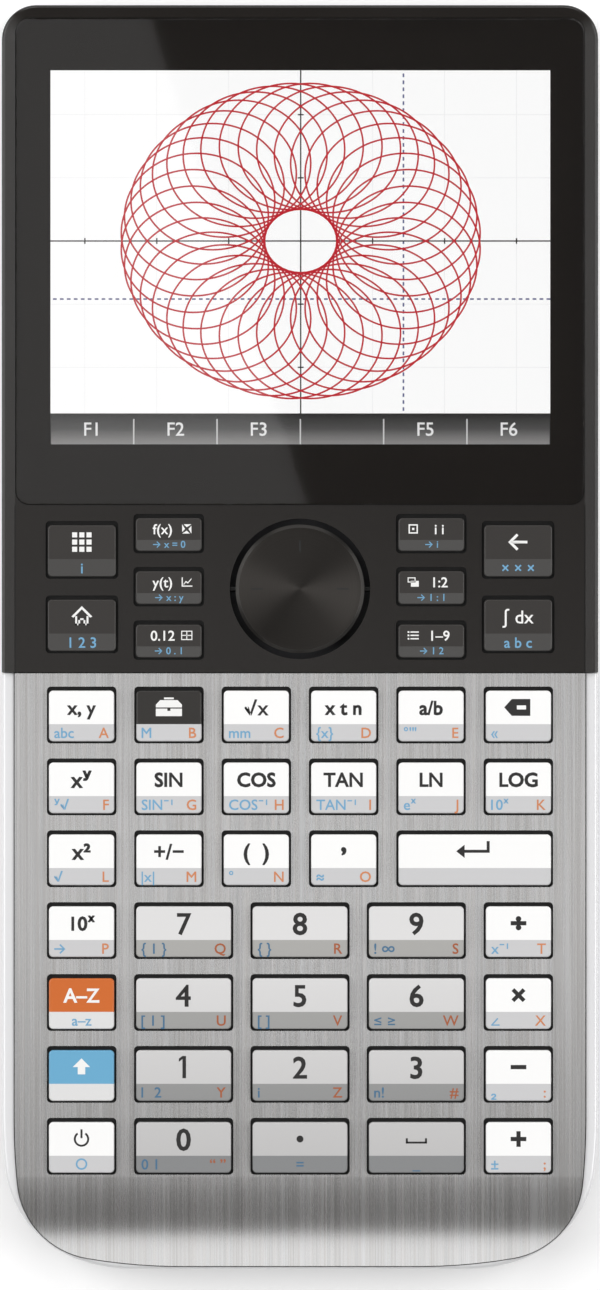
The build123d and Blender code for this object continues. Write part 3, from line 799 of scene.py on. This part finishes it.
def sign(text, height, bold=0.0):
    """A word or sign as flat points and faces, centred, with capitals of the given height. Bold
    is how far its outline moves out, as a share of that height."""
    data = bpy.data.curves.new("sign", "FONT")
    data.body = text
    data.size = 1 / cap_of_size
    data.align_x = "CENTER"
    data.resolution_u = 3
    holder = bpy.data.objects.new("sign", data)
    bpy.context.scene.collection.objects.link(holder)
    bpy.context.view_layer.update()
    made = bpy.data.meshes.new_from_object(holder)
    points = np.zeros(len(made.vertices) * 3)
    made.vertices.foreach_get("co", points)
    faces = [tuple(face.vertices) for face in made.polygons]
    bpy.data.objects.remove(holder)
    bpy.data.curves.remove(data)
    bpy.data.meshes.remove(made)
    points = points.reshape(-1, 3)[:, :2]
    first = points[list(faces[0])]
    turn = np.cross(first[1] - first[0], first[2] - first[1])
    return thickened(points, faces, math.copysign(bold, turn)) * height, faces


def bar(x0, x1, y0, y1):
    """One flat rectangle of a sign."""
    return np.array([(x0, y0), (x1, y0), (x1, y1), (x0, y1)], float), [(0, 1, 2, 3)]


def outline_box(x0, x1, y0, y1, line):
    """A square outline of four bars."""
    return [bar(x0, x1, y0, y0 + line), bar(x0, x1, y1 - line, y1), bar(x0, x0 + line, y0 + line, y1 - line),
            bar(x1 - line, x1, y0 + line, y1 - line)]


def scaled(parts, size, x=0.0, y=0.0):
    """Parts drawn in a unit square, at their real size and place."""
    return [(points * size + (x, y), faces) for points, faces in parts]


def house():
    """A house: a roof line of two slanted bars, walls and a door gap."""
    roof = (np.array([(-0.6, 0.0), (-0.47, -0.06), (0, 0.42), (0.47, -0.06), (0.6, 0.0), (0, 0.6)]),
            [(0, 1, 2, 5), (5, 2, 3, 4)])
    return [roof, bar(-0.38, -0.27, -0.5, 0.02), bar(0.27, 0.38, -0.5, 0.02), bar(-0.38, -0.1, -0.5, -0.4),
            bar(0.1, 0.38, -0.5, -0.4), bar(-0.2, -0.1, -0.5, -0.1), bar(0.1, 0.2, -0.5, -0.1),
            bar(-0.2, 0.2, -0.2, -0.1)]


def chest():
    """A tool chest: a body with a lid whose upper corners are cut, a handle and a clasp gap."""
    lid = (np.array([(-0.75, 0.0), (0.75, 0.0), (0.75, 0.16), (0.5, 0.42), (-0.5, 0.42), (-0.75, 0.16)]),
           [(0, 1, 2, 3, 4, 5)])
    return [lid, bar(-0.75, -0.09, -0.5, -0.07), bar(0.09, 0.75, -0.5, -0.07), bar(-0.09, 0.09, -0.5, -0.2),
            bar(-0.28, 0.28, 0.47, 0.57)]


def axes_sign():
    """Two axes and a rising line."""
    rise = (np.array([(-0.35, -0.2), (-0.1, 0.12), (0.12, -0.02), (0.5, 0.42), (0.5, 0.27), (0.12, -0.17),
                      (-0.1, -0.03), (-0.35, -0.35)]), [(0, 7, 6, 1), (1, 6, 5, 2), (2, 5, 4, 3)])
    return [bar(-0.55, -0.43, -0.5, 0.5), bar(-0.43, 0.6, -0.5, -0.38), rise]


def table_sign():
    """A table of two rows and two columns."""
    lines = [bar(-0.5, 0.5, -0.05, 0.05), bar(-0.05, 0.05, -0.4, 0.4)]
    return outline_box(-0.6, 0.6, -0.5, 0.5, 0.1) + lines


def boxed_cross():
    """A filled square with a slanted cross left out: one triangle, turned to all four sides."""
    triangle = np.array([(0.5, 0.5), (-0.34, 0.5), (0.0, 0.18)])
    quarter_turn = np.array([(0, 1), (-1, 0)])
    return [(triangle @ np.linalg.matrix_power(quarter_turn, turns), [(0, 1, 2)]) for turns in range(4)]


def boxed_dot():
    """A filled square frame with a dot in it."""
    return outline_box(-0.5, 0.5, -0.5, 0.5, 0.14) + [bar(-0.12, 0.12, -0.12, 0.12)]


def tiles():
    """Nine small tiles."""
    return [bar(x - 0.14, x + 0.14, y - 0.14, y + 0.14) for x in (-0.4, 0, 0.4) for y in (-0.4, 0, 0.4)]


def windows_sign():
    """One window outline in front of another."""
    return outline_box(-0.6, 0.25, -0.05, 0.5, 0.1) + [bar(-0.25, 0.6, -0.5, 0.12)]


def list_sign():
    """Three lines with their dots."""
    return [bar(-0.3, 0.6, y - 0.07, y + 0.07) for y in (-0.36, 0, 0.36)] + \
        [bar(-0.6, -0.42, y - 0.09, y + 0.09) for y in (-0.36, 0, 0.36)]


def erase_sign():
    """A solid tab pointed to the left, with a bar missing from its middle."""
    tip = np.array([(-0.85, 0.0), (-0.4, -0.5), (-0.1, -0.5), (-0.1, 0.5), (-0.4, 0.5)])
    bars = [bar(-0.1, 0.7, 0.12, 0.5), bar(-0.1, 0.7, -0.5, -0.12), bar(0.45, 0.7, -0.12, 0.12)]
    return [(tip, [(0, 1, 2, 3, 4)])] + bars


def return_sign():
    """A line that comes down and back to an arrow head on the left."""
    head = (np.array([(-1.0, 0.0), (-0.55, -0.36), (-0.55, 0.36)]), [(0, 1, 2)])
    return [head, bar(-0.55, 0.8, -0.08, 0.08), bar(0.64, 0.8, 0.08, 0.55)]


def shift_sign():
    """A broad arrow that points up."""
    head = (np.array([(-0.6, 0.0), (0.6, 0.0), (0.0, 0.6)]), [(0, 1, 2)])
    return [head, bar(-0.26, 0.26, -0.5, 0.0)]


def power_sign(count=20):
    """An open ring and an upright bar: the ring is two arcs of points by angle."""
    turn = np.linspace(np.radians(125), np.radians(415), count)
    ring = np.concatenate([np.stack([r * np.cos(turn), r * np.sin(turn)], 1) for r in (0.46, 0.34)])
    step = np.arange(count - 1)
    faces = np.stack([step, step + 1, step + 1 + count, step + count], 1).tolist()
    return [(ring, faces), bar(-0.06, 0.06, 0.05, 0.58)]


def one_sign():
    """The digit one: an upright with a short flag."""
    flag = (np.array([(-0.05, 0.5), (-0.05, 0.36), (-0.21, 0.24), (-0.21, 0.38)]), [(0, 3, 2, 1)])
    return [bar(-0.05, 0.11, -0.5, 0.5), flag]


def space_sign():
    """A wide low bracket."""
    return [bar(-0.7, 0.7, -0.3, -0.17), bar(-0.7, -0.57, -0.3, 0.05), bar(0.57, 0.7, -0.3, 0.05)]


def print_on(node, name, material, parts):
    """Lays flat parts on a cap, centred on it: behind the crease they lie on the flat top, and
    ahead of it each point drops with the slope."""
    left, right, front, _, crease = cap_place(node)
    points, faces = join_parts(parts)
    places = points + ((left + right) / 2, 0)
    level = key_face - slope_drop * np.clip((crease - places[:, 1]) / (crease - front), 0, None) + print_lift
    piece = add_mesh(name, np.column_stack([places, level]), faces, [material])
    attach(piece, node.replace("key_", "press_", 1))


def ink(name, colour):
    """Pad-printed ink: a flat colour with the cap's fine grain showing through."""
    finish, tree, shader = start_finish(name, colour, 0.45)
    grain, _ = add_grain(tree, shader, 0.45, height=0.05, per_metre=5200.0)
    pale = tuple(min(1.0, 1.12 * c + 0.004) for c in colour)
    two_tone(tree, shader, grain.outputs["Cloud"], colour, pale)
    return finish


ink_black = ink("ink_black", (0.012, 0.011, 0.011))
ink_white = ink("ink_white", (0.80, 0.80, 0.79))
ink_blue = ink("ink_blue", (0.15, 0.36, 0.56))
ink_orange = ink("ink_orange", (0.60, 0.22, 0.09))
ink_deep_blue = ink("ink_deep_blue", (0.055, 0.15, 0.26))
ink_deep_orange = ink("ink_deep_orange", (0.36, 0.095, 0.03))

label_height = 2.0 * mm
label_base = bar_low + 1.25 * mm
bands = []
for number, label in enumerate(["F1", "F2", "F3", "", "F5", "F6"]):
    if label:
        points, faces = sign(label, label_height, -0.015)
        middle = (plot_left + (number + 0.5) * tab_pitch, label_base)
        level = np.full((len(points), 1), picture_level + 6 * layer)
        bands.append((np.hstack([points + middle, level]), faces))
lit_piece("screen_labels", bands, lit_finish("screen_pale", (0.78, 0.78, 0.78)))

digit = 3.2 * mm
word = 2.05 * mm
small = 1.5 * mm
sign_width = 1.2
strip_rise = 0.5 * mm
side_margin = 0.75 * mm
main_signs = {
    "variables": ("x, y", word, 0.045), "xtn": ("x t n", word, 0.05),
    "templates": ("√x", word * 1.1, 0.02), "fraction": ("a/b", word, 0.045), "sine": ("SIN", word, 0.05),
    "cosine": ("COS", word, 0.05), "tangent": ("TAN", word, 0.05), "natural_log": ("LN", word, 0.05),
    "log": ("LOG", word, 0.05), "power": ("xʸ", word * 1.15, 0.045), "square": ("x²", word * 1.15, 0.045),
    "sign": ("+/−", word * 1.1, 0.04), "brackets": ("(  )", word * 1.15, 0.04),
    "comma": (",", word * 1.5, 0.04), "exponent": ("10ˣ", word, 0.045), "divide": ("÷", word * 1.5, 0.06),
    "multiply": ("×", word * 1.4, 0.06), "minus": ("−", word * 1.5, 0.06),
    "plus": ("+", word * 1.5, 0.06), "point": ("·", word * 2.2, 0.03), "alpha": ("A–Z", word, 0.05),
    "symbolic": ("f(x)   ", small, 0.02), "plot": ("y(t)   ", small, 0.02),
    "numeric": ("0.12   ", small, 0.02), "help": ("    i i", small, 0.02),
    "view": ("    1:2", small, 0.02), "menu": ("    1–9", small, 0.02), "escape": ("←", word * 1.3, 0.02),
    "algebra": ("∫ dx", word * 0.95, 0.01), **{number: (number, digit, 0.03) for number in "023456789"},
}
drawn_signs = {
    "apps": (tiles, 3.1, 0), "home": (house, 3.0, 0), "symbolic": (boxed_cross, 1.6, 2.6),
    "plot": (axes_sign, 1.6, 2.6), "numeric": (table_sign, 1.6, 2.6), "help": (boxed_dot, 1.6, -2.6),
    "view": (windows_sign, 1.6, -2.6), "menu": (list_sign, 1.6, -2.6), "toolbox": (chest, 3.0, 0),
    "delete": (erase_sign, 2.9, 0), "enter": (return_sign, 3.2, 0), "shift": (shift_sign, 2.5, 0),
    "on": (power_sign, 2.9, 0), "space": (space_sign, 2.6, 0), "1": (one_sign, 3.84, 0),
}
second_signs = {
    "variables": "abc", "toolbox": "M", "templates": "mm", "xtn": "{x}", "fraction": "°'\"",
    "delete": "«", "power": "ʸ√", "sine": "SIN⁻¹", "cosine": "COS⁻¹", "tangent": "TAN⁻¹",
    "natural_log": "eˣ", "log": "10ˣ", "square": "√", "sign": "|x|", "brackets": "°", "comma": "≈",
    "exponent": "→", "7": "{ 1 }", "8": "{ }", "9": "! ∞", "divide": "x⁻¹", "4": "[ 1 ]", "5": "[ ]",
    "6": "≤ ≥", "multiply": "∠", "alpha": "a–z", "1": "1  2", "2": "i", "3": "n!", "minus": "₂",
    "on": "○", "0": "0 1", "point": "=", "space": "_", "plus": "±", "apps": "i", "home": "1 2 3",
    "symbolic": "→ x = 0", "plot": "→ x : y", "numeric": "→ 0 . 1", "help": "→ i", "view": "→ 1 : 1",
    "menu": "→ 1 2", "escape": "× × ×", "algebra": "a b c",
}
letter_order = [
    "variables", "toolbox", "templates", "xtn", "fraction", "power", "sine", "cosine", "tangent",
    "natural_log", "log", "square", "sign", "brackets", "comma", "exponent", "7", "8", "9", "divide", "4",
    "5", "6", "multiply", "1", "2",
]
letters = {name: chr(ord("A") + number) for number, name in enumerate(letter_order)}
letters.update({"3": "#", "minus": ":", "0": "“ ”", "plus": ";"})
white_ink_keys = large_keys + small_keys + ["alpha", "shift", "toolbox"]
centred_seconds = large_keys + small_keys + ["alpha", "on", "point", "space"]

for node in key_nodes:
    name = node[4:]
    left, right, front, back, crease = cap_place(node)
    top_middle = (crease + back) / 2
    wide = right - left
    material = ink_white if name in white_ink_keys else ink_black
    parts = []
    if name in main_signs:
        text, height, bold = main_signs[name]
        points, faces = sign(text, height, bold)
        lone = len(text) == 1 and not text.isdigit()
        middle = (points[:, 1].min() + points[:, 1].max()) / 2 if lone else height / 2
        parts.append((points + (0, top_middle - middle), faces))
    if name in drawn_signs:
        draw, size, aside = drawn_signs[name]
        parts += scaled(draw(), size * mm / sign_width, aside * mm, top_middle)
    print_on(node, "print_" + name, material, parts)
    strip_base = front + strip_rise
    second_ink = ink_deep_blue if name in silver_keys else ink_blue
    letter_ink = ink_deep_orange if name in silver_keys else ink_orange
    second_height = (1.05 if name in small_keys else 1.55) * mm
    if name in second_signs:
        points, faces = sign(second_signs[name], second_height, 0.02)
        spot = 0.0
        if name not in centred_seconds:
            spot = -wide / 2 + side_margin - points[:, 0].min()
        print_on(node, "print_second_" + name, second_ink, [(points + (spot, strip_base), faces)])
    if name in letters:
        points, faces = sign(letters[name], second_height, 0.02)
        spot = wide / 2 - side_margin - points[:, 0].max()
        print_on(node, "print_letter_" + name, letter_ink, [(points + (spot, strip_base), faces)])


# ---- Inner pieces
# The pieces under the front: a grey silicone keypad, a green board, the wrapped battery, steel
# screws and the disc's black carrier. They show when the door is open or a key is lifted out.

rocker_finish = moulded_finish("rocker_black", (0.012, 0.012, 0.012), 0.4, height=0.1)
finish_node("cursor_rocker", rocker_finish)

membrane_grey = (0.05, 0.05, 0.055)
membrane_finish = moulded_finish("membrane_silicone", membrane_grey, 0.62, height=0.25, per_metre=2500.0)
finish_node("keypad_membrane", membrane_finish)

board_finish, tree, shader = start_finish("board_green", (0.01, 0.09, 0.035), 0.35)
_, place = add_grain(tree, shader, 0.35, height=0.06)
weave = linked(tree, "ShaderNodeTexWave", {"bands_direction": "X"}, Vector=place, Scale=1400.0,
               Distortion=0.6)
track = blend_colours(tree, weave.outputs["Fac"], (0.008, 0.075, 0.03), (0.015, 0.115, 0.045))
level = linked(tree, "ShaderNodeSeparateXYZ", Vector=place).outputs["Z"]
board_low, board_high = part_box("main_board")
board_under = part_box("keypad_membrane")[0].z - 1.02 * mm
metal_here = calc(tree, "LESS_THAN", level, board_under)
two_tone(tree, shader, metal_here, track, (0.55, 0.55, 0.54))
tree.links.new(metal_here, shader.inputs["Metallic"])
finish_node("main_board", board_finish)

battery_finish = moulded_finish("battery_wrap", (0.028, 0.030, 0.034), 0.38, height=0.12, per_metre=1500.0)
finish_node("battery", battery_finish)

battery_low, battery_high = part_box("battery")
battery_under = battery_low.z - 0.012 * mm
battery_middle = ((battery_low.x + battery_high.x) / 2, (battery_low.y + battery_high.y) / 2)
tape_inset = 0.5 * mm
tape_foot = battery_high.y - 8 * mm
tape_head = battery_high.y - 2.2 * mm
tape_finish = moulded_finish("battery_tape", (0.55, 0.25, 0.02), 0.25, height=0.05, per_metre=900.0)
points, faces = panel(battery_low.x + tape_inset, battery_high.x - tape_inset, tape_foot, tape_head,
                      battery_under)
battery_tape = add_mesh("battery_tape", points, faces[:, ::-1], [tape_finish])
sticker_left, sticker_right = battery_middle[0] - 15 * mm, battery_middle[0] + 15 * mm
sticker_foot, sticker_head = battery_middle[1] - 13 * mm, battery_middle[1] + 7 * mm
sticker_corner = 1.5 * mm
sticker_finish = moulded_finish("battery_sticker", (0.70, 0.70, 0.69), 0.6, height=0.1, per_metre=2500.0)
points, faces = rounded_tab(sticker_left, sticker_right, sticker_foot, sticker_head, sticker_corner,
                            battery_under)
battery_sticker = add_mesh("battery_sticker", points, faces[:, ::-1], [sticker_finish])
for piece in (battery_tape, battery_sticker):
    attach(piece, "body")

contact_finish = moulded_finish("contact_gold", (0.85, 0.60, 0.25), 0.2, 1.0, height=0.03)
tongue_head = board_high.y - 1.7 * mm
tongue_top = board_low.z + 1.6 * mm
contact_half = 0.2 * mm
contact_foot = tongue_head - 2.4 * mm
contact_head = tongue_head - 0.15 * mm
contact_level = tongue_top + 0.012 * mm
bands = [panel(x - contact_half, x + contact_half, contact_foot, contact_head, contact_level)
         for x in np.linspace(-2, 2, 5) * mm]
points, faces = join_parts(bands)
socket_contacts = add_mesh("socket_contacts", points, faces, [contact_finish])
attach(socket_contacts, "body")

screw_finish = moulded_finish("screw_steel", (0.42, 0.42, 0.43), 0.28, 1.0, height=0.08)
finish_node("case_screws", screw_finish)
